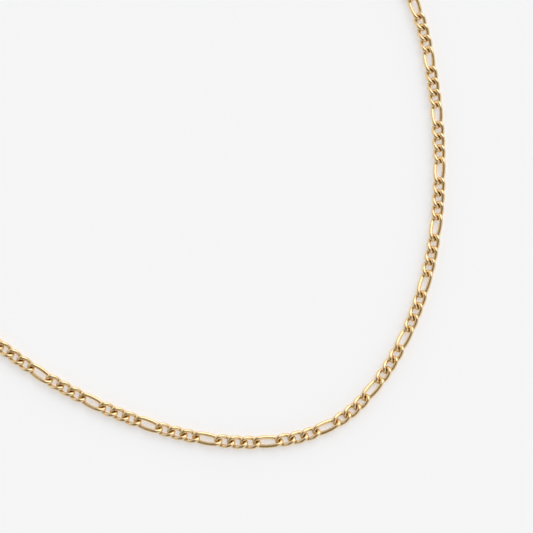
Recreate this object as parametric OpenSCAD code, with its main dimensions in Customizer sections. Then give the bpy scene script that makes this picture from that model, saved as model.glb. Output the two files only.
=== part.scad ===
// Figaro neck chain, lying flat in an open loop on a level surface.
// Round-wire curb links in the order three short, one long, closed by a
// plain lobster-form clasp between two jump rings.
// Units are millimetres. X and Y lie in the surface, Z is up, the surface is z = 0.

/* [Wire] */
// Diameter of the round wire of every link
wire_d = 0.78; // [0.5:0.01:1.4]
// Height of the chain's middle plane above the surface
rest_z = 0.95; // [0.6:0.01:2]

/* [Short link] */
// Distance along the chain that one short link takes
short_pitch = 2.96; // [2:0.01:6]
// Half length of the short link's wire centre line
short_half_len = 2.08; // [1.2:0.01:4]
// Half width of the short link's wire centre line
short_half_wid = 1.16; // [0.8:0.01:3]
// Radius of the short link's end bend
short_bend_r = 0.82; // [0.5:0.01:2]
// Half of the angle that the short link's end bend turns, in degrees
short_bend_half = 48.7; // [20:0.1:85]
// Slope of the short link's ends out of the chain's plane, in degrees
short_end_slope = 34.2; // [10:0.1:60]
// Slope of the short link's sides out of the chain's plane, in degrees
short_side_slope = 41.1; // [5:0.1:60]
// How far the short link is turned in the chain's plane, in degrees
short_turn = -1.5; // [-10:0.1:10]

/* [Long link] */
// Distance along the chain that one long link takes
long_pitch = 5.25; // [3:0.01:12]
// Half length of the long link's wire centre line
long_half_len = 3.24; // [2:0.01:8]
// Half width of the long link's wire centre line
long_half_wid = 1.12; // [0.8:0.01:3]
// Radius of the long link's end bend
long_bend_r = 0.95; // [0.5:0.01:2]
// Half of the angle that the long link's end bend turns, in degrees
long_bend_half = 71.7; // [20:0.1:85]
// Slope of the long link's ends out of the chain's plane, in degrees
long_end_slope = 33.3; // [10:0.1:60]
// Slope of the long link's sides out of the chain's plane, in degrees
long_side_slope = 31.0; // [5:0.1:60]
// How far the long link is turned in the chain's plane, in degrees
long_turn = -2.0; // [-10:0.1:10]

/* [Chain] */
// Links in the whole chain, counted from the clasp
link_count = 125; // [40:1:200]
// Links joined along their thread in one piece
links_per_segment = 8; // [4:1:12]
// Where the first link starts, measured along the route from its first point
chain_start = 1.02; // [0:0.01:30]
// Radius of the small joint between two crossing wires inside one segment
joint_r = 0.2; // [0.1:0.01:0.3]
// Height of that joint
joint_h = 0.6; // [0.2:0.05:1]
// How far that joint lies to one side of the thread
joint_y = 0.70; // [0.3:0.01:1.5]
// How far the last links at each end rise to meet the jump rings
end_lift = 0.36; // [0:0.01:1]
// Length of chain over which they rise
lift_run = 16; // [5:1:40]

/* [Jump rings] */
// Radius of the jump ring's wire centre line
ring_r = 1.75; // [1.2:0.05:4]
// Diameter of the jump ring's wire
ring_wire_d = 0.8; // [0.5:0.05:1.5]
// Tilt of each jump ring about the chain's line, in degrees
ring_tilt = 55; // [40:1:80]
// Distance from the chain's end to the ring's centre
ring_reach = 1.45; // [0.5:0.05:4]

/* [Clasp] */
// Radius of the claw's centre line
claw_r = 1.6; // [1:0.05:4]
// Diameter of the claw's bar
claw_d = 1.3; // [0.6:0.05:3]
// Radius of the eye's centre line
eye_r = 1.0; // [0.6:0.05:3]
// Diameter of the eye's bar
eye_d = 0.9; // [0.5:0.05:2]
// Distance from the chain's far end to the claw's centre
claw_reach = 3.7; // [2:0.05:8]
// Distance from the chain's near end back to the eye's centre
eye_reach = 3.3; // [2:0.05:8]
// Height of the clasp's middle plane
clasp_z = 1.75; // [1:0.05:3]
// Radius of the clasp's body at its shoulder
shoulder_r = 1.1; // [0.5:0.05:2]
// Radius of the clasp's body at its neck
neck_r = 0.5; // [0.3:0.05:1.5]

/* [Hidden] */
$fn = 32;
gold = [0.86, 0.68, 0.36];

// Route of the chain's middle line, seen from above, clockwise from the clasp.
// columns: x, y
route = [
  [-45.5, 58.5], [-30.0, 69.5], [-12.0, 75.7], [6.5, 76.73], [25.05, 72.15],
  [41.5, 62.0], [54.1, 48.4], [63.93, 26.49], [66.42, 12.45], [67.62, -1.51],
  [67.47, -15.66], [65.78, -29.65], [62.27, -43.15], [58.49, -52.3], [53.28, -61.19],
  [43.54, -71.33], [36.33, -74.86], [26.5, -76.77], [12.11, -76.13], [-1.58, -72.78],
  [-14.71, -67.53], [-27.01, -60.86], [-32.9, -56.95], [-47.5, -44.5], [-58.5, -29.0],
  [-65.7, -11.5], [-67.7, 7.5], [-65.15, 26.05], [-57.5, 43.5]
];
route_n = len(route);
steps = 16;

function at(i) = route[(i + route_n) % route_n];
function gap(i) = norm(at(i + 1) - at(i));
// tangent at a route point, weighted by the distances to its neighbours
function slope(i) =
  let (a = gap(i - 1), b = gap(i))
  ((at(i + 1) - at(i)) / b * a + (at(i) - at(i - 1)) / a * b) / (a + b);
function between(i, u) =
  let (h = gap(i), u2 = u * u, u3 = u2 * u)
  (2 * u3 - 3 * u2 + 1) * at(i) + (u3 - 2 * u2 + u) * h * slope(i)
  + (3 * u2 - 2 * u3) * at(i + 1) + (u3 - u2) * h * slope(i + 1);

samples = [for (k = [0 : route_n * steps]) between(floor(k / steps), (k % steps) / steps)];
function running(v, i = 0, sum = 0, out = []) =
  i >= len(v) ? out
  : let (s = i == 0 ? 0 : sum + norm(v[i] - v[i - 1])) running(v, i + 1, s, concat(out, [s]));
dist = running(samples);
route_len = dist[len(dist) - 1];

function find(s, lo, hi) = hi - lo <= 1 ? lo : let (m = floor((lo + hi) / 2)) dist[m] > s ? find(s, lo, m) : find(s, m, hi);
function wrap(s) = s - floor(s / route_len) * route_len;
function on_route(s0) =
  let (s = wrap(s0), k = find(s, 0, len(dist) - 1), u = (s - dist[k]) / (dist[k + 1] - dist[k]))
  samples[k] * (1 - u) + samples[k + 1] * u;

// links: every fourth one is long, the second of each four
function is_long(i) = i % 4 == 1;
function pitch(i) = is_long(i) ? long_pitch : short_pitch;
function longs_before(i) = floor((i + 2) / 4);
// distance from the chain's start to the pin before link i
function pin(i) = (i - longs_before(i)) * short_pitch + longs_before(i) * long_pitch;
chain_len = pin(link_count);
function rise_at(s) =
  let (u = max(0, 1 - min(s, chain_len - s) / lift_run)) end_lift * u * u * (3 - 2 * u);

// how much thinner every second arc of a link is, and how far it runs into the next
hair = 0.01;
tuck = 0.06;

segment_count = ceil(link_count / links_per_segment);

// ---- one link: six arcs of round wire, each tangent to the next ----
function unit(v) = v / norm(v);

// arc of wire that leaves p along t and ends at q; before and after lengthen it inside its neighbours
module wire_arc(p, t, q, r, before, after) {
  c = q - p;
  side = c - (c * t) * t;
  n = unit(side);
  rad = (c * c) / (2 * norm(side));
  turn = 2 * asin(norm(c) / (2 * rad));
  o = p + rad * n;
  x = -n;
  z = cross(x, t);
  lead = before / rad * 180 / PI;
  tail = after / rad * 180 / PI;
  multmatrix([[x[0], t[0], z[0], o[0]], [x[1], t[1], z[1], o[1]], [x[2], t[2], z[2], o[2]], [0, 0, 0, 1]])
    rotate([0, 0, -lead]) rotate_extrude(angle = lead + turn + tail) translate([rad, 0]) circle(r = r);
}

// la, wa: half length and half width. Each end is a planar bend of radius br that turns
// bh to each side and slopes by es. Each side leaves its middle with slope ss and runs
// in one arc to each end bend. Of two arcs that meet, one is thicker by a hair, and the
// thinner one runs a little way into it.
module link(la, wa, br, bh, es, ss, turn) {
  r = wire_d / 2;
  bend = [la - br * (1 - cos(bh)), br * sin(bh) * cos(es), -br * sin(bh) * sin(es)];
  bend_low = [bend[0], -bend[1], -bend[2]];
  bend_dir = [sin(bh), cos(bh) * cos(es), -cos(bh) * sin(es)];
  mid = [0, wa, 0];
  mid_dir = [cos(ss), 0, -sin(ss)];
  rotate([0, 0, turn]) {
    // right end and left end
    wire_arc(bend_low, bend_dir, bend, r, 0, 0);
    rotate([0, 0, 180]) wire_arc(bend_low, bend_dir, bend, r - hair, tuck, tuck);
    // far side, to the right and to the left
    wire_arc(mid, mid_dir, bend, r - hair, tuck, tuck);
    wire_arc(mid, -mid_dir, [-bend[0], bend[1], -bend[2]], r, 0, 0);
    // near side, to the left and to the right
    rotate([0, 0, 180]) wire_arc(mid, mid_dir, bend, r, 0, 0);
    rotate([0, 0, 180]) wire_arc(mid, -mid_dir, [-bend[0], bend[1], -bend[2]], r - hair, tuck, tuck);
  }
}

module short_link() {
  link(short_half_len, short_half_wid, short_bend_r, short_bend_half, short_end_slope, short_side_slope, short_turn);
}
module long_link() {
  link(long_half_len, long_half_wid, long_bend_r, long_bend_half, long_end_slope, long_side_slope, long_turn);
}

// middle line of the chain in space at a distance s from its start
function thread(s) = let (p = on_route(chain_start + s)) [p[0], p[1], rest_z + rise_at(s)];

// puts its child at the middle between two pins, along the line from one to the other
module along(a, b) {
  m = (a + b) / 2;
  d = b - a;
  translate(m) rotate([0, -atan2(d[2], norm([d[0], d[1]])), atan2(d[1], d[0])]) children();
}

// the hidden joint that holds two crossing wires together inside one segment
module joint(i) {
  along(thread(pin(i) - 0.5), thread(pin(i) + 0.5))
    translate([0, joint_y, -joint_h / 2]) cylinder(r = joint_r, h = joint_h);
}

module segment(k) {
  first = k * links_per_segment;
  last = min(first + links_per_segment, link_count) - 1;
  color(gold) union() {
    for (i = [first : last]) along(thread(pin(i)), thread(pin(i + 1)))
      if (is_long(i)) long_link(); else short_link();
    if (last > first) for (i = [first + 1 : last]) joint(i);
  }
}

// ---- clasp and jump rings ----
clasp_a = on_route(chain_start + chain_len);
clasp_b = on_route(chain_start);
clasp_turn = atan2(clasp_b[1] - clasp_a[1], clasp_b[0] - clasp_a[0]);
clasp_span = norm(clasp_b - clasp_a);
ring_z = ring_r * sin(ring_tilt) + ring_wire_d / 2;

// frame whose X runs from the chain's far end to its near end
module clasp_frame() {
  translate([clasp_a[0], clasp_a[1], 0]) rotate([0, 0, clasp_turn]) children();
}

module ring(x, tilt) {
  color(gold) clasp_frame() translate([x, 0, ring_z]) rotate([tilt, 0, 0])
    rotate_extrude() translate([ring_r, 0]) circle(d = ring_wire_d);
}

module jump_ring_a() { ring(clasp_span - ring_reach, -ring_tilt); }
module jump_ring_b() { ring(ring_reach, ring_tilt); }

module clasp() {
  eye_x = clasp_span - eye_reach;
  color(gold) clasp_frame() translate([0, 0, clasp_z]) union() {
    // claw
    translate([claw_reach, 0, 0]) rotate([0, 0, 180])
      rotate_extrude() translate([claw_r, 0]) circle(d = claw_d);
    // body: widens from the claw to the shoulder and tapers to the eye
    rotate([0, 90, 0]) rotate_extrude() polygon([
      [0, claw_reach + claw_r], [0.4, claw_reach + claw_r],
      [shoulder_r, claw_reach + claw_r + 1.2], [neck_r, eye_x - eye_r], [0, eye_x - eye_r]
    ]);
    // eye
    translate([eye_x, 0, 0]) rotate_extrude() translate([eye_r, 0]) circle(d = eye_d);
    // thumb tab
    translate([claw_reach + claw_r - 0.1, claw_r + 0.35, 0]) rotate([0, 0, 50]) sphere(r = 0.55);
  }
}

segment(0);  // segment_01
segment(1);  // segment_02
segment(2);  // segment_03
segment(3);  // segment_04
segment(4);  // segment_05
segment(5);  // segment_06
segment(6);  // segment_07
segment(7);  // segment_08
segment(8);  // segment_09
segment(9);  // segment_10
segment(10);  // segment_11
segment(11);  // segment_12
segment(12);  // segment_13
segment(13);  // segment_14
segment(14);  // segment_15
segment(15);  // segment_16
clasp();
jump_ring_a();
jump_ring_b();
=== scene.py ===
import math
import bpy
import numpy as np
from mathutils import Matrix, Vector


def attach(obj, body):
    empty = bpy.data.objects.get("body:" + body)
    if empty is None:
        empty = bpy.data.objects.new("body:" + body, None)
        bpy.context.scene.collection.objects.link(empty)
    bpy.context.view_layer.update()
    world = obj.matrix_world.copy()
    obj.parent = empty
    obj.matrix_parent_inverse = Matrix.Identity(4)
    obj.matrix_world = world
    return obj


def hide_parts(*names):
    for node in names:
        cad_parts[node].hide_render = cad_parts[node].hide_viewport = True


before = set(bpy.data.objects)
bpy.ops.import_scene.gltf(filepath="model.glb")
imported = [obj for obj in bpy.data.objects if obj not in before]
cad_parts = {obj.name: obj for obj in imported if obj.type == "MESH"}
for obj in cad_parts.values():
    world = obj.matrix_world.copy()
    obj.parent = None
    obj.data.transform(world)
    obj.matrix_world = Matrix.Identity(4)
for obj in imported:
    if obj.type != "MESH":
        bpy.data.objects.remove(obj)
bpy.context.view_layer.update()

MM = 0.001
scene = bpy.context.scene

# ---------------------------------------------------------------- named sizes, mm
WIRE_R = 0.482          # radius of the round wire
SQUARE = 2.25           # 2 is a round wire section, more is squarer
FLOOR_GAP = 0.004       # the lowest wire stands this far over the floor
ARC = 0.462             # how far a link's wire leaves the chain's middle plane
# half length, half width, lean along, lean across, squareness
LINK = {
    "short": dict(a=2.034, b=1.108, s=-0.077, q=-0.048, n=1.86),
    "long": dict(a=3.152, b=1.050, s=0.026, q=-0.184, n=2.256),
}
TURN = {"short": 0.0, "long": 0.0}
SHORT_PITCH, LONG_PITCH = 2.96, 5.25
LINKS, PER_SEGMENT = 125, 8
CHAIN_START = 1.02
AHEAD = 0.20
END_LIFT, LIFT_RUN = 0.36, 16.0
ALONG_N, ROUND_N = 104, 22   # mesh rings along a link and sides of its wire

# the chain's route from above, clockwise from the clasp, mm: x, y
ROUTE = np.array([
    [-45.5, 58.5], [-30.0, 69.5], [-12.0, 75.7], [6.5, 76.73], [25.05, 72.15],
    [41.5, 62.0], [54.1, 48.4], [63.93, 26.49], [66.42, 12.45], [67.62, -1.51],
    [67.47, -15.66], [65.78, -29.65], [62.27, -43.15], [58.49, -52.3], [53.28, -61.19],
    [43.54, -71.33], [36.33, -74.86], [26.5, -76.77], [12.11, -76.13], [-1.58, -72.78],
    [-14.71, -67.53], [-27.01, -60.86], [-32.9, -56.95], [-47.5, -44.5], [-58.5, -29.0],
    [-65.7, -11.5], [-67.7, 7.5], [-65.15, 26.05], [-57.5, 43.5]])
STEPS = 16


# ---------------------------------------------------------------- the route
def route_samples():
    n = len(ROUTE)
    gap = np.linalg.norm(np.roll(ROUTE, -1, 0) - ROUTE, axis=1)
    before = np.roll(gap, 1)[:, None]
    after = gap[:, None]
    slope = ((np.roll(ROUTE, -1, 0) - ROUTE) / after * before
             + (ROUTE - np.roll(ROUTE, 1, 0)) / before * after) / (before + after)
    out = []
    for i in range(n):
        j = (i + 1) % n
        for k in range(STEPS):
            u = k / STEPS
            u2, u3 = u * u, u * u * u
            out.append((2 * u3 - 3 * u2 + 1) * ROUTE[i] + (u3 - 2 * u2 + u) * gap[i] * slope[i]
                       + (3 * u2 - 2 * u3) * ROUTE[j] + (u3 - u2) * gap[i] * slope[j])
    out.append(out[0])
    return np.array(out)


PATH = route_samples()
DIST = np.concatenate([[0.0], np.cumsum(np.linalg.norm(np.diff(PATH, axis=0), axis=1))])


def on_route(s):
    s = s % DIST[-1]
    return np.array([np.interp(s, DIST, PATH[:, 0]), np.interp(s, DIST, PATH[:, 1])])


def is_long(i):
    return i % 4 == 1


def pin(i):
    longs = (i + 2) // 4
    return (i - longs) * SHORT_PITCH + longs * LONG_PITCH


CHAIN_LEN = pin(LINKS)
REST_Z = ARC + WIRE_R + FLOOR_GAP


def thread(s):
    u = max(0.0, 1.0 - min(s, CHAIN_LEN - s) / LIFT_RUN)
    # the drawn links sit a hair further on than the CAD's, fading out at both ends
    ahead = AHEAD * min(1.0, min(s, CHAIN_LEN - s) / 60.0)
    x, y = on_route(CHAIN_START + ahead + s)
    return np.array([x, y, REST_Z + END_LIFT * u * u * (3 - 2 * u)])


# ---------------------------------------------------------------- one link's wire
def smooth_closed(p, rounds):
    for _ in range(rounds):
        p = 0.25 * np.roll(p, 1, 0) + 0.5 * p + 0.25 * np.roll(p, -1, 0)
    return p


def link_line(kind, count):
    """Closed centre line of one link, evenly spaced, in the link's own frame, mm."""
    k = LINK[kind]
    t = np.linspace(0, 2 * math.pi, 1440, endpoint=False)
    c, s = np.cos(t), np.sin(t)
    e = 2.0 / k["n"]
    p = np.stack([k["a"] * np.sign(c) * np.abs(c) ** e + k["s"] * s,
                  k["b"] * np.sign(s) * np.abs(s) ** e + k["q"] * c,
                  -ARC * np.sin(2 * t)], 1)
    for _ in range(2):
        closed = np.vstack([p, p[:1]])
        d = np.concatenate([[0.0], np.cumsum(np.linalg.norm(np.diff(closed, axis=0), axis=1))])
        at = np.linspace(0, d[-1], 720, endpoint=False)
        p = np.stack([np.interp(at, d, closed[:, i]) for i in range(3)], 1)
        p = smooth_closed(p, 60)
    at = np.arange(count) * 720.0 / count
    closed = np.vstack([p, p[:1]])
    return np.stack([np.interp(at, np.arange(721), closed[:, i]) for i in range(3)], 1)


def sweep(line, radius, sides, closed=True, up=(0, 0, 1), square=2.0, thick=1.0):
    """Tube along a line; radius may be one number or one for each point.
    square above 2 makes the section squarer, thick scales it along up."""
    n = len(line)
    if closed:
        tan = np.roll(line, -1, 0) - np.roll(line, 1, 0)
    else:
        tan = np.gradient(line, axis=0)
    tan /= np.linalg.norm(tan, axis=1)[:, None]
    up = np.broadcast_to(np.asarray(up, float), tan.shape)
    nor = up - (up * tan).sum(1)[:, None] * tan
    nor /= np.linalg.norm(nor, axis=1)[:, None]
    bin_ = np.cross(tan, nor)
    r = np.broadcast_to(np.asarray(radius, float), (n,))[:, None]
    a = np.linspace(0, 2 * math.pi, sides, endpoint=False)
    e = 2.0 / square
    ca = (np.sign(np.cos(a)) * np.abs(np.cos(a)) ** e)[None, :]
    sa = (np.sign(np.sin(a)) * np.abs(np.sin(a)) ** e)[None, :]
    ring = (line[:, None, :] + (r * thick * ca)[..., None] * nor[:, None, :]
            + (r * sa)[..., None] * bin_[:, None, :])
    i = np.arange(n if closed else n - 1)[:, None]
    j = np.arange(sides)[None, :]
    i2, j2 = (i + 1) % n, (j + 1) % sides
    quads = np.stack([i * sides + j, i2 * sides + j, i2 * sides + j2, i * sides + j2], -1).reshape(-1, 4)
    return ring.reshape(-1, 3), quads


def placed(a, b, turn=0.0, roll=0.0):
    """Rotation and place of a link whose ends are at a and b."""
    d = b - a
    x = d / np.linalg.norm(d)
    y = np.array([-x[1], x[0], 0.0])
    y /= np.linalg.norm(y)
    z = np.cross(x, y)
    rot = np.stack([x, y, z], 1)
    c, s = math.cos(turn), math.sin(turn)
    c2, s2 = math.cos(roll), math.sin(roll)
    return rot @ np.array([[c, -s, 0], [s, c, 0], [0, 0, 1]]) @ np.array([[1, 0, 0], [0, c2, -s2], [0, s2, c2]]), (a + b) / 2


# ---------------------------------------------------------------- materials
def node(tree, kind, x, y, **values):
    n = tree.nodes.new(kind)
    n.location = (x, y)
    for k, v in values.items():
        setattr(n, k, v)
    return n


def gold(name, light, deep, rough):
    """Polished yellow gold: tone drifts a little, faint drawn lines, polish that comes and goes, painted shade
    where wires cross (a darker brown base colour, also rougher), and a darker closed seam on the rings.
    """
    m = bpy.data.materials.new(name)
    m.use_nodes = True
    t = m.node_tree
    bsdf = t.nodes["Principled BSDF"]
    bsdf.inputs["Metallic"].default_value = 1.0
    place = node(t, "ShaderNodeTexCoord", -1300, 0)
    # slow drift of the alloy's tone
    drift = node(t, "ShaderNodeTexNoise", -1050, 260)
    drift.inputs["Scale"].default_value = 420.0
    drift.inputs["Detail"].default_value = 3.0
    tone = node(t, "ShaderNodeMix", -620, 260, data_type="RGBA")
    tone.inputs["A"].default_value = (*light, 1)
    tone.inputs["B"].default_value = (*deep, 1)
    t.links.new(place.outputs["Object"], drift.inputs["Vector"])
    t.links.new(drift.outputs["Fac"], tone.inputs["Factor"])
    # painted shade: the base colour turns a dull brown, and the wire rougher, where a neighbouring wire comes
    # close; on the rings the same mark darkens the closed seam
    shade_and_seam = node(t, "ShaderNodeAttribute", -1050, -420, attribute_name="painted_shade_and_seam")
    painted_shade_mix = node(t, "ShaderNodeMix", -380, 260, data_type="RGBA")
    painted_shade_mix.inputs["B"].default_value = (0.48, 0.39, 0.26, 1)
    part = node(t, "ShaderNodeMath", -620, -20, operation="MULTIPLY")
    part.inputs[1].default_value = 0.55
    t.links.new(shade_and_seam.outputs["Fac"], part.inputs[0])
    t.links.new(part.outputs[0], painted_shade_mix.inputs["Factor"])
    t.links.new(tone.outputs["Result"], painted_shade_mix.inputs["A"])
    t.links.new(painted_shade_mix.outputs["Result"], bsdf.inputs["Base Color"])
    # polish that comes and goes
    wear = node(t, "ShaderNodeTexNoise", -1050, -20)
    wear.inputs["Scale"].default_value = 1500.0
    wear.inputs["Detail"].default_value = 4.0
    t.links.new(place.outputs["Object"], wear.inputs["Vector"])
    polish = node(t, "ShaderNodeMapRange", -800, -20)
    polish.inputs["From Min"].default_value = 0.3
    polish.inputs["From Max"].default_value = 0.7
    polish.inputs["To Min"].default_value = rough * 0.7
    polish.inputs["To Max"].default_value = rough * 1.35
    t.links.new(wear.outputs["Fac"], polish.inputs["Value"])
    dull = node(t, "ShaderNodeMath", -380, -20, operation="MULTIPLY_ADD")
    dull.inputs[1].default_value = 0.22
    t.links.new(shade_and_seam.outputs["Fac"], dull.inputs[0])
    t.links.new(polish.outputs["Result"], dull.inputs[2])
    t.links.new(dull.outputs[0], bsdf.inputs["Roughness"])
    # fine scratches and drawing marks
    marks = node(t, "ShaderNodeTexNoise", -1050, -240)
    marks.inputs["Scale"].default_value = 5200.0
    marks.inputs["Detail"].default_value = 5.0
    t.links.new(place.outputs["Object"], marks.inputs["Vector"])
    bump = node(t, "ShaderNodeBump", -620, -240)
    bump.inputs["Strength"].default_value = 0.10
    bump.inputs["Distance"].default_value = 0.00001
    t.links.new(marks.outputs["Fac"], bump.inputs["Height"])
    t.links.new(bump.outputs["Normal"], bsdf.inputs["Normal"])
    return m


GOLD = gold("chain_gold", (0.93, 0.72, 0.43), (0.90, 0.66, 0.36), 0.21)
CLASP_GOLD = gold("clasp_gold", (0.93, 0.72, 0.43), (0.90, 0.66, 0.36), 0.14)


# ---------------------------------------------------------------- pieces
def piece(name, verts, faces, material, painted_shade_and_seam=None, replaces=()):
    me = bpy.data.meshes.new(name)
    me.from_pydata((np.asarray(verts) * MM).tolist(), [], [list(map(int, q)) for q in faces])
    me.polygons.foreach_set("use_smooth", np.ones(len(me.polygons), bool))
    tone = me.attributes.new("painted_shade_and_seam", "FLOAT", "POINT")
    tone.data.foreach_set("value", np.zeros(len(me.vertices)) if painted_shade_and_seam is None else np.asarray(painted_shade_and_seam))
    me.materials.append(material)
    me.update()
    ob = bpy.data.objects.new(name, me)
    scene.collection.objects.link(ob)
    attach(ob, "root")
    if replaces:
        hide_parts(*replaces)
    return ob


rng = np.random.default_rng(41)
LINE = {k: link_line(k, ALONG_N) for k in LINK}
MESH = {}
for kind, line in LINE.items():
    # a faint solder swelling in the middle of one side
    u = np.arange(ALONG_N) / ALONG_N
    away = np.abs((u - 0.75 + 0.5) % 1.0 - 0.5) * (15.0 if kind == "short" else 20.0)
    radius = WIRE_R * (1.0 + 0.012 * np.exp(-(away / 0.35) ** 2) - 0.010 * np.exp(-(away / 0.10) ** 2))
    MESH[kind] = sweep(line, radius, ROUND_N, square=SQUARE)

lines, shells, quads = [], [], []
for i in range(LINKS):
    kind = "long" if is_long(i) else "short"
    rot, mid = placed(thread(pin(i)), thread(pin(i + 1)), math.radians(TURN[kind]),
                      math.radians(float(rng.normal(0, 0.5))))
    lines.append(LINE[kind] @ rot.T + mid)
    shells.append(MESH[kind][0] @ rot.T + mid)
    quads.append(MESH[kind][1])

for k in range(math.ceil(LINKS / PER_SEGMENT)):
    first, last = k * PER_SEGMENT, min((k + 1) * PER_SEGMENT, LINKS)
    verts, faces, tone, count = [], [], [], 0
    for i in range(first, last):
        # painted shade: each vertex gets darker the closer it lies to a neighbouring link's wire, strongest
        # where the wires cross
        near = [lines[j] for j in (i - 1, i + 1) if 0 <= j < LINKS]
        other = np.concatenate(near)
        d = np.sqrt(((shells[i][:, None, :] - other[None, :, :]) ** 2).sum(-1)).min(1) - WIRE_R
        tone.append(np.exp(-np.clip(d, 0, None) / 0.14))
        verts.append(shells[i])
        faces.append(quads[i] + count)
        count += len(shells[i])
    name = f"segment_{k + 1:02d}"
    piece("links_" + name, np.concatenate(verts), np.concatenate(faces), GOLD,
          np.concatenate(tone), (name,))


# ---------------------------------------------------------------- clasp and jump rings
CLASP_Z, RING_Z, RING_REACH, EYE_REACH = 1.75, 1.8335, 1.45, 3.3
CLASP_A, CLASP_B = on_route(CHAIN_START + CHAIN_LEN), on_route(CHAIN_START)
CLASP_SPAN = float(np.linalg.norm(CLASP_B - CLASP_A))
AXIS = (CLASP_B - CLASP_A) / CLASP_SPAN
CLASP_TURN = np.array([[AXIS[0], -AXIS[1], 0], [AXIS[1], AXIS[0], 0], [0, 0, 1]])
EYE_X = CLASP_SPAN - EYE_REACH


def in_clasp(points, x, z, tilt=0.0):
    c, s = math.cos(tilt), math.sin(tilt)
    p = np.asarray(points) @ np.array([[1, 0, 0], [0, c, -s], [0, s, c]]).T + np.array([x, 0, z])
    return p @ CLASP_TURN.T + np.array([CLASP_A[0], CLASP_A[1], 0])


def capped(line, radius, sides=28, square=2.0, thick=1.0):
    """Open tube whose ends round off."""
    line = np.asarray(line, float)
    d = np.concatenate([[0.0], np.cumsum(np.linalg.norm(np.diff(line, axis=0), axis=1))])
    radius = np.broadcast_to(np.asarray(radius, float), (len(line),)).copy()
    for away, r in ((d, radius[0]), (d[-1] - d, radius[-1])):
        near = away < r
        radius[near] *= np.sqrt(np.clip(1 - (1 - away[near] / r) ** 2, 0.0025, 1))
    v, f = sweep(line, radius, sides, closed=False, square=square, thick=thick)
    f = f.tolist()
    f.append(list(range(sides))[::-1])
    f.append([len(v) - sides + k for k in range(sides)])
    return v, f


def ball(centre, size, rings=18, sides=26):
    a = np.linspace(0, math.pi, rings)
    line = np.stack([-np.cos(a), 0 * a, 0 * a], 1)
    v, f = sweep(line, np.clip(np.sin(a), 0.02, 1), sides, closed=False)
    f = f.tolist()
    f.append(list(range(sides))[::-1])
    f.append([len(v) - sides + k for k in range(sides)])
    return v * np.asarray(size) + np.asarray(centre), f


def circle(r, a0, a1, count, x=0.0):
    a = np.radians(np.linspace(a0, a1, count))
    return np.stack([x + r * np.cos(a), r * np.sin(a), 0 * a], 1)


def fused(name, shells, voxel, material, replaces):
    """One clean skin around overlapping shells."""
    me = bpy.data.meshes.new(name + "_shells")
    verts, faces = [], []
    for v, f in shells:
        base = len(verts)
        verts += (np.asarray(v) * MM).tolist()
        faces += [[k + base for k in q] for q in f]
    me.from_pydata(verts, [], faces)
    me.update()
    tmp = bpy.data.objects.new(name + "_shells", me)
    scene.collection.objects.link(tmp)
    skin = tmp.modifiers.new("skin", "REMESH")
    skin.mode = "VOXEL"
    skin.voxel_size = voxel * MM
    soft = tmp.modifiers.new("soft", "SMOOTH")
    soft.iterations = 4
    soft.factor = 0.5
    graph = bpy.context.evaluated_depsgraph_get()
    done = tmp.evaluated_get(graph).to_mesh()
    v = np.empty(len(done.vertices) * 3)
    done.vertices.foreach_get("co", v)
    v = v.reshape(-1, 3) / MM
    f = [list(q.vertices) for q in done.polygons]
    tmp.evaluated_get(graph).to_mesh_clear()
    bpy.data.objects.remove(tmp)
    bpy.data.meshes.remove(me)
    return piece(name, v, f, material, None, replaces)


CLAW_X = 3.7
hook = circle(1.6, 4, 354, 140, CLAW_X)                  # the claw, closed, from the body round to the body
u = np.linspace(0, 1, len(hook))
turn = 4 + 350 * u
claw = (0.62 - 0.15 * u ** 2) * (1.0 - 0.16 * np.exp(-((turn - 316) / 3.0) ** 2))   # the lever's seam
x = np.linspace(CLAW_X + 1.05, EYE_X - 0.75, 70)
t = (x - x[0]) / (x[-1] - x[0])
belly = np.interp(t, [0, 0.06, 0.16, 0.22, 0.5, 0.85, 1.0], [0.62, 0.80, 1.00, 1.02, 0.80, 0.50, 0.44])
for _ in range(6):
    belly[1:-1] = 0.25 * belly[:-2] + 0.5 * belly[1:-1] + 0.25 * belly[2:]
body = np.stack([x, 0 * x, 0 * x], 1)
shells_clasp = [
    capped(hook, claw, square=2.3),
    capped(body, belly, 36, square=2.2, thick=0.92),
    sweep(circle(1.0, 0, 360, 73, EYE_X)[:-1], 0.44, 24),
    ball((CLAW_X + 1.5, 1.93, 0), (0.50, 0.52, 0.42)),
    ball((CLAW_X + 1.85, 1.3, 0), (0.42, 0.62, 0.34)),
    capped(np.array([[CLAW_X + 2.6, -0.45, z] for z in np.linspace(-1.02, 1.02, 18)]), 0.26, 20),
]
shells_clasp = [(in_clasp(v, 0.0, CLASP_Z), f if isinstance(f, list) else f.tolist()) for v, f in shells_clasp]
fused("clasp_body", shells_clasp, 0.065, CLASP_GOLD, ("clasp",))

for name, at_x, tilt in (("jump_ring_a", CLASP_SPAN - RING_REACH, -55.0), ("jump_ring_b", RING_REACH, 55.0)):
    a = np.linspace(0, 360, 145)[:-1]
    cut = np.minimum(np.abs(a - 90), 360 - np.abs(a - 90))
    r = 0.405 * (1.0 - 0.16 * np.exp(-(cut / 1.6) ** 2))     # the closed seam
    v, f = sweep(circle(1.75, 0, 360, 145)[:-1], r, 28)
    piece("ring_" + name[-1], in_clasp(v, at_x, RING_Z, math.radians(tilt)), f, CLASP_GOLD,
          np.repeat(np.exp(-(cut / 2.2) ** 2), 28), (name,))


# ---------------------------------------------------------------- floor, lights, camera
FLOOR_GLOW = 0.43     # a pale plate lit a little from beneath


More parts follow.
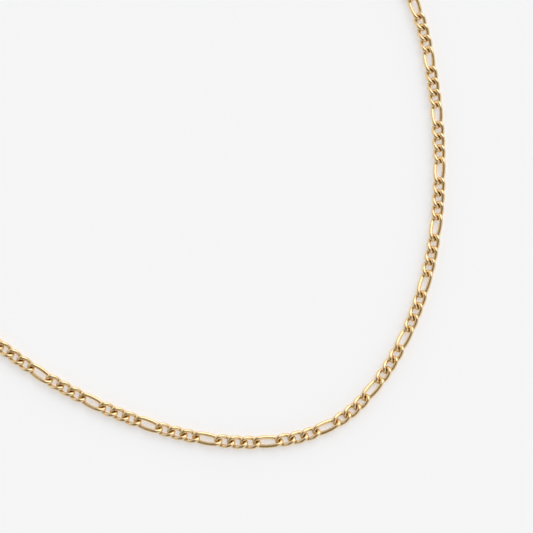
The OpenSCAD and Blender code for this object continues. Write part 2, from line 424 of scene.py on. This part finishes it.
def floor():
    me = bpy.data.meshes.new("floor")
    h = 1.5
    me.from_pydata([(-h, -h, 0), (h, -h, 0), (h, h, 0), (-h, h, 0)], [], [(0, 1, 2, 3)])
    ob = bpy.data.objects.new("floor", me)
    scene.collection.objects.link(ob)
    m = bpy.data.materials.new("pale_floor")
    m.use_nodes = True
    b = m.node_tree.nodes["Principled BSDF"]
    b.inputs["Base Color"].default_value = (0.70, 0.705, 0.715, 1)
    b.inputs["Emission Color"].default_value = (0.97, 0.98, 1.0, 1)
    b.inputs["Emission Strength"].default_value = FLOOR_GLOW
    b.inputs["Roughness"].default_value = 0.9
    b.inputs["Specular IOR Level"].default_value = 0.0
    me.materials.append(m)
    return ob


floor()

# the room: pale walls that go over into a dimmer ceiling, seen from the chain
WALL, CEILING = (0.84, 0.845, 0.86), (0.25, 0.23, 0.205)
CEILING_FROM, CEILING_FULL = 34.0, 54.0     # elevation, degrees
# soft panels far away: azimuth from +X towards +Y and elevation in degrees, half width, strength, tint
PANELS = [
    ("key", 57.0, 51.0, 28.0, 1.36, (1.0, 0.99, 0.97)),
    ("dark_card", 238.0, 5.0, 48.0, -0.40, (1.0, 1.0, 1.0)),
]


def studio(panels):
    world = bpy.data.worlds.new("studio")
    scene.world = world
    world.use_nodes = True
    t = world.node_tree
    t.nodes.clear()
    place = node(t, "ShaderNodeTexCoord", -1200, 0)
    parts = node(t, "ShaderNodeSeparateXYZ", -1000, 300)
    t.links.new(place.outputs["Generated"], parts.inputs[0])
    rise = node(t, "ShaderNodeMapRange", -800, 300, interpolation_type="SMOOTHSTEP")
    rise.inputs["From Min"].default_value = math.sin(math.radians(CEILING_FROM))
    rise.inputs["From Max"].default_value = math.sin(math.radians(CEILING_FULL))
    t.links.new(parts.outputs["Z"], rise.inputs["Value"])
    room = node(t, "ShaderNodeMix", -600, 300, data_type="RGBA")
    room.inputs["A"].default_value = (*WALL, 1)
    room.inputs["B"].default_value = (*CEILING, 1)
    t.links.new(rise.outputs["Result"], room.inputs["Factor"])
    total = room.outputs["Result"]
    for k, (label, az, el, wide, strength, tint) in enumerate(panels):
        a, e = math.radians(az), math.radians(el)
        dot = node(t, "ShaderNodeVectorMath", -1000, -160 * k, operation="DOT_PRODUCT")
        dot.inputs[1].default_value = (math.cos(a) * math.cos(e), math.sin(a) * math.cos(e), math.sin(e))
        t.links.new(place.outputs["Generated"], dot.inputs[0])
        edge = node(t, "ShaderNodeMapRange", -800, -160 * k, interpolation_type="SMOOTHSTEP")
        edge.inputs["From Min"].default_value = math.cos(math.radians(wide * 1.25))
        edge.inputs["From Max"].default_value = math.cos(math.radians(wide * 0.75))
        t.links.new(dot.outputs["Value"], edge.inputs["Value"])
        mul = node(t, "ShaderNodeVectorMath", -600, -160 * k, operation="SCALE")
        mul.inputs[0].default_value = [strength * c for c in tint]
        t.links.new(edge.outputs["Result"], mul.inputs["Scale"])
        out = mul.outputs["Vector"]
        add = node(t, "ShaderNodeVectorMath", -400, -160 * k, operation="ADD")
        t.links.new(total, add.inputs[0])
        t.links.new(out, add.inputs[1])
        total = add.outputs["Vector"]
    # the backdrop stays plain where the camera sees past the floor
    seen = node(t, "ShaderNodeLightPath", -400, 200)
    mix = node(t, "ShaderNodeMix", -200, 0, data_type="RGBA")
    mix.inputs["B"].default_value = (0.93, 0.93, 0.93, 1)
    t.links.new(seen.outputs["Is Camera Ray"], mix.inputs["Factor"])
    t.links.new(total, mix.inputs["A"])
    back = node(t, "ShaderNodeBackground", 0, 0)
    t.links.new(mix.outputs["Result"], back.inputs["Color"])
    end = node(t, "ShaderNodeOutputWorld", 200, 0)
    t.links.new(back.outputs[0], end.inputs["Surface"])
    return world


studio(PANELS)
scene.view_settings.view_transform = "Standard"
scene.view_settings.look = "None"
scene.view_settings.exposure = 0.0
scene.view_settings.gamma = 1.0

TILT = math.radians(12.3)
AIM = Vector((26.03, -35.17, 0.90)) * MM
REACH = 354.5 * MM
cam_data = bpy.data.cameras.new("camera")
cam_data.sensor_width = 36.0
cam_data.lens = 1492.0 / 533.0 * 36.0
cam_data.clip_start = 0.01
cam_data.clip_end = 10.0
cam = bpy.data.objects.new("camera", cam_data)
scene.collection.objects.link(cam)
cam.location = AIM + Vector((0, -math.sin(TILT), math.cos(TILT))) * REACH
cam.rotation_euler = (TILT, 0.0, 0.0)
scene.camera = cam
